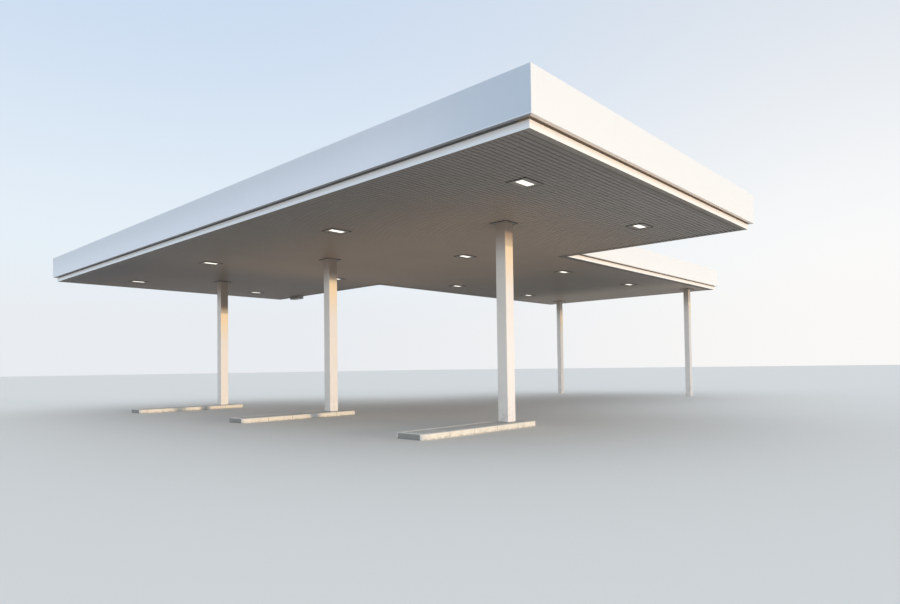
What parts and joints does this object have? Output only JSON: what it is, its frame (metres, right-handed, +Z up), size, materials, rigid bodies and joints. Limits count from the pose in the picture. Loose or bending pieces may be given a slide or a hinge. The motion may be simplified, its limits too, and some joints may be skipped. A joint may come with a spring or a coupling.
{
  "type": "filling station canopy",
  "caption": "Wide flat filling station canopy: ribbed soffit, deep smooth fascia, three square columns on kerbed plinths, and a narrower link roof on two slim columns.",
  "frame": {"origin": "centre of the plan, on the ground", "axes": "+X to the right along the main roof's long front edge, +Y from the front edge towards the link roof, +Z up"},
  "size_m": [23.61, 24.15, 6.2],
  "materials": {
    "column_1": "satin white paint",
    "column_2": "satin white paint",
    "column_3": "satin white paint",
    "column_4": "satin white paint",
    "column_5": "satin white paint",
    "column_collars": "satin taupe paint",
    "plinth_kerb_1": "cast concrete",
    "plinth_kerb_2": "cast concrete",
    "plinth_kerb_3": "cast concrete",
    "plinth_infill": "floated concrete",
    "spine_beam": "grey primer",
    "rafters": "grey primer",
    "edge_channels": "grey primer",
    "link_girders": "grey primer",
    "link_rafters": "grey primer",
    "purlins": "galvanised",
    "roof_deck_front": "satin light grey coating",
    "roof_deck_rear": "satin light grey coating",
    "roof_deck_link": "satin light grey coating",
    "ridge_flashings": "satin light grey coating",
    "gutters": "galvanised",
    "parapet_liner": "satin light grey coating",
    "parapet_capping": "satin off-white coating",
    "fascia_posts": "grey primer",
    "fascia_front": "satin off-white coating",
    "fascia_left": "satin off-white coating",
    "fascia_right": "satin off-white coating",
    "fascia_rear_left": "satin off-white coating",
    "fascia_rear_right": "satin off-white coating",
    "link_fascia_left": "satin off-white coating",
    "link_fascia_right": "satin off-white coating",
    "link_fascia_end": "satin off-white coating",
    "trim_main": "satin white coating",
    "trim_link": "satin white coating",
    "shadow_gap_liner": "matt dark brown coating",
    "soffit_left": "satin taupe coating",
    "soffit_middle": "satin taupe coating",
    "soffit_right": "satin taupe coating",
    "soffit_link": "satin taupe coating",
    "soffit_margin": "satin taupe coating",
    "ceiling_rails": "galvanised",
    "light_housings": "satin grey coating",
    "light_lenses": "bright opal diffuser",
    "edge_housing": "satin dark grey coating"
  },
  "bodies": {
    "root": {"column_1": "column_1", "column_2": "column_2", "column_3": "column_3", "column_4": "column_4", "column_5": "column_5", "column_collars": "column_collars", "plinth_kerb_1": "plinth_kerb_1", "plinth_kerb_2": "plinth_kerb_2", "plinth_kerb_3": "plinth_kerb_3", "plinth_infill": "plinth_infill", "spine_beam": "spine_beam", "rafters": "rafters", "edge_channels": "edge_channels", "link_girders": "link_girders", "link_rafters": "link_rafters", "purlins": "purlins", "roof_deck_front": "roof_deck_front", "roof_deck_rear": "roof_deck_rear", "roof_deck_link": "roof_deck_link", "ridge_flashings": "ridge_flashings", "gutters": "gutters", "parapet_liner": "parapet_liner", "parapet_capping": "parapet_capping", "fascia_posts": "fascia_posts", "fascia_front": "fascia_front", "fascia_left": "fascia_left", "fascia_right": "fascia_right", "fascia_rear_left": "fascia_rear_left", "fascia_rear_right": "fascia_rear_right", "link_fascia_left": "link_fascia_left", "link_fascia_right": "link_fascia_right", "link_fascia_end": "link_fascia_end", "trim_main": "trim_main", "trim_link": "trim_link", "shadow_gap_liner": "shadow_gap_liner", "soffit_left": "soffit_left", "soffit_middle": "soffit_middle", "soffit_right": "soffit_right", "soffit_link": "soffit_link", "soffit_margin": "soffit_margin", "ceiling_rails": "ceiling_rails", "light_housings": "light_housings", "light_lenses": "light_lenses", "edge_housing": "edge_housing"}
  },
  "joints": []
}
